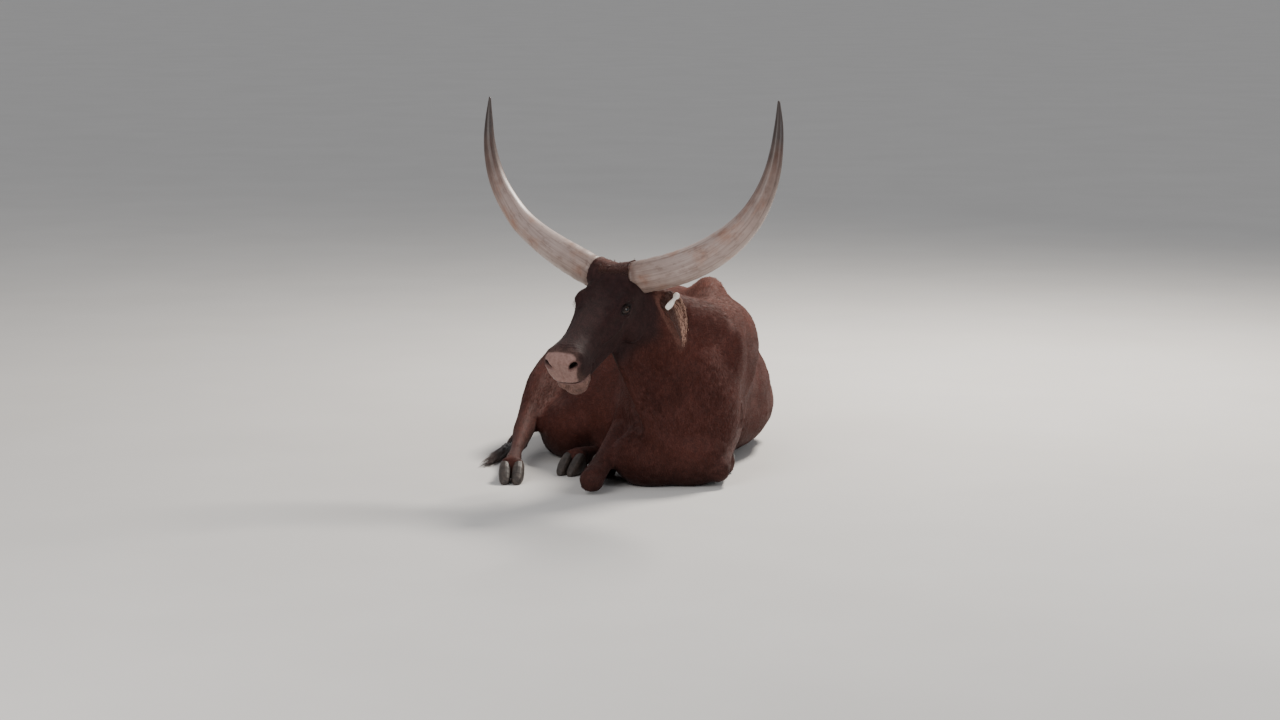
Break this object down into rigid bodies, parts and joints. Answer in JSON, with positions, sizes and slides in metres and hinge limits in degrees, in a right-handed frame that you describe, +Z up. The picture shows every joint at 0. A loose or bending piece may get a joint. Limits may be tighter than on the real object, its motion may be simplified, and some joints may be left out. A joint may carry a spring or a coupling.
{
  "type": "lying long-horned cow model",
  "caption": "Life-size Ankole Watusi cow lying with its legs folded, head turned, with long upswept horns, a shoulder hump and a tail laid on the floor.",
  "frame": {"origin": "on the floor under the brisket, on the middle of the animal's front", "axes": "+X to the animal's left, +Y from head to tail, +Z up"},
  "size_m": [1.1112, 1.9158, 1.3706],
  "materials": {
    "coat": "short deep red-brown hair",
    "face": "very short dark brown hair",
    "hair": "long dark brown hair",
    "horn": "pale grey-ivory horn, dark at the tips",
    "hoof": "dark hoof horn",
    "eye": "wet dark brown",
    "tag": "plain off-white"
  },
  "bodies": {
    "root": {"torso": "coat", "neck": "coat", "head": "face", "poll_tuft": "hair", "eye_L": "eye", "eye_R": "eye", "ear_L": "coat", "ear_R": "coat", "ear_tag": "tag", "horn_L": "horn", "horn_R": "horn", "leg_fore_L": "coat", "leg_fore_R": "coat", "leg_hind_L": "coat", "leg_hind_R": "coat", "foot_hind_L": "coat", "foot_hind_R": "coat", "claw_fore_L_in": "hoof", "claw_fore_L_out": "hoof", "claw_fore_R_in": "hoof", "claw_fore_R_out": "hoof", "claw_hind_L_in": "hoof", "claw_hind_L_out": "hoof", "claw_hind_R_in": "hoof", "claw_hind_R_out": "hoof", "tail": "coat", "tail_switch": "hair"}
  },
  "joints": []
}
